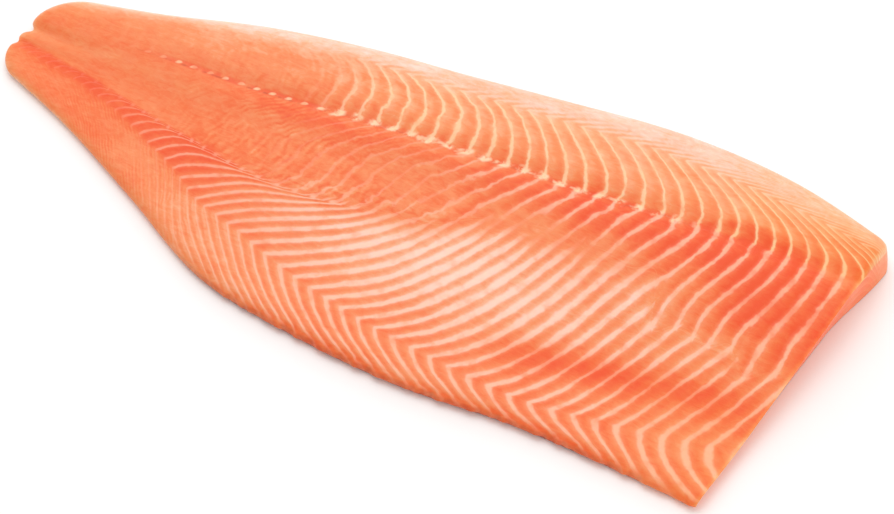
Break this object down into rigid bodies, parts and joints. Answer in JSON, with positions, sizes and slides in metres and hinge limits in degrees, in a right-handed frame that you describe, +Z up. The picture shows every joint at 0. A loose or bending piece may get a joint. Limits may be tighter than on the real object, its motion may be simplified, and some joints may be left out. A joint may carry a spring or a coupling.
{
  "type": "raw salmon fillet",
  "caption": "Whole skinless raw salmon side, flesh up: rounded lobed tail end, thick back edge, thin belly flap and a straight slanting knife cut; lies flat on its underside.",
  "frame": {"origin": "under the middle of the fillet, at the centre of its bounding box's bottom face, in the plane it rests on", "axes": "+X from the tail end towards the knife cut behind the head, +Y from the belly flap towards the back edge, +Z up from the underside to the flesh side"},
  "size_m": [0.5998, 0.2566, 0.03],
  "materials": {
    "salmon_flesh": "moist raw salmon flesh, orange with cream fat lines and a soft wet gloss"
  },
  "bodies": {
    "root": {"fillet": "salmon_flesh"}
  },
  "joints": []
}
